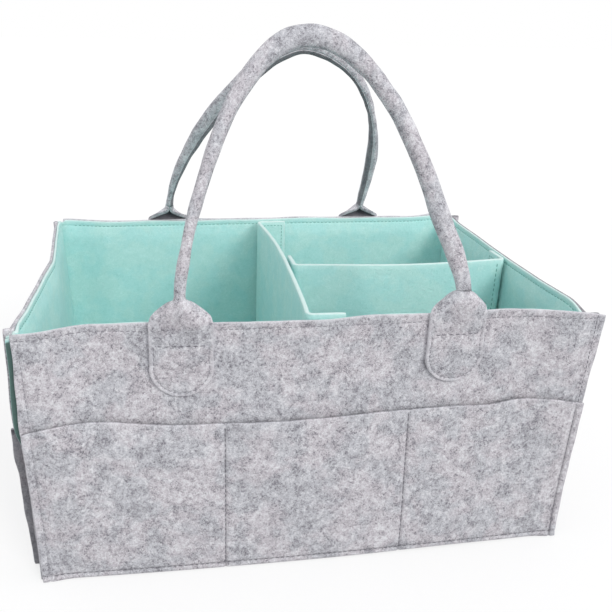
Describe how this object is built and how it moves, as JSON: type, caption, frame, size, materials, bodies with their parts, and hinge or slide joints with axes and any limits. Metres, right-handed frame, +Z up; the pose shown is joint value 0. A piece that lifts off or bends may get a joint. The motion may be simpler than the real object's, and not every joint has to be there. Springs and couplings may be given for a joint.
{
  "type": "felt storage caddy",
  "caption": "Soft rectangular felt caddy with a contrasting lining, sewn outer pockets, lift-out dividers and arched rolled-felt carry handles.",
  "frame": {"origin": "on the table under the middle of the caddy", "axes": "+X along the long side to the right of someone facing the front, +Y to the back, +Z up"},
  "size_m": [0.3912, 0.2802, 0.352],
  "materials": {
    "grey_felt": "matt pressed felt, pale heather grey with darker and lighter fibres",
    "mint_felt": "matt pressed felt, pale mint green",
    "hook_tape": "woven tape with short nylon hooks, mint"
  },
  "bodies": {
    "caddy_body": {"outer_front_wall": "grey_felt", "outer_back_wall": "grey_felt", "outer_left_end": "grey_felt", "outer_right_end": "grey_felt", "outer_base": "grey_felt", "front_pocket_panel": "grey_felt", "back_pocket_panel": "grey_felt", "left_end_pocket_panel": "grey_felt", "right_end_pocket_panel": "grey_felt", "front_left_handle_patch": "grey_felt", "front_right_handle_patch": "grey_felt", "back_left_handle_patch": "grey_felt", "back_right_handle_patch": "grey_felt", "lining_front_wall": "mint_felt", "lining_back_wall": "mint_felt", "lining_left_end": "mint_felt", "lining_right_end": "mint_felt", "lining_base": "mint_felt"},
    "front_handle": {"front_handle_grip": "grey_felt"},
    "back_handle": {"back_handle_grip": "grey_felt"},
    "centre_divider": {"centre_divider_panel": "mint_felt", "centre_front_hook_strip": "hook_tape", "centre_back_hook_strip": "hook_tape"},
    "long_divider": {"long_divider_panel": "mint_felt", "long_left_hook_strip": "hook_tape", "long_right_hook_strip": "hook_tape"}
  },
  "joints": [
    {"name": "front_handle_hinge", "type": "hinge", "parent": "caddy_body", "child": "front_handle", "pos_m": [0, -0.1278, 0.178], "axis": [1, 0, 0], "range_deg": [-22, 145]},
    {"name": "back_handle_hinge", "type": "hinge", "parent": "caddy_body", "child": "back_handle", "pos_m": [0, 0.1278, 0.178], "axis": [-1, 0, 0], "range_deg": [-13, 145]},
    {"name": "centre_divider_lift", "type": "slide", "parent": "caddy_body", "child": "centre_divider", "axis": [0, 0, 1], "range_m": [0, 0.105]},
    {"name": "long_divider_lift", "type": "slide", "parent": "caddy_body", "child": "long_divider", "axis": [0, 0, 1], "range_m": [0, 0.105]}
  ]
}
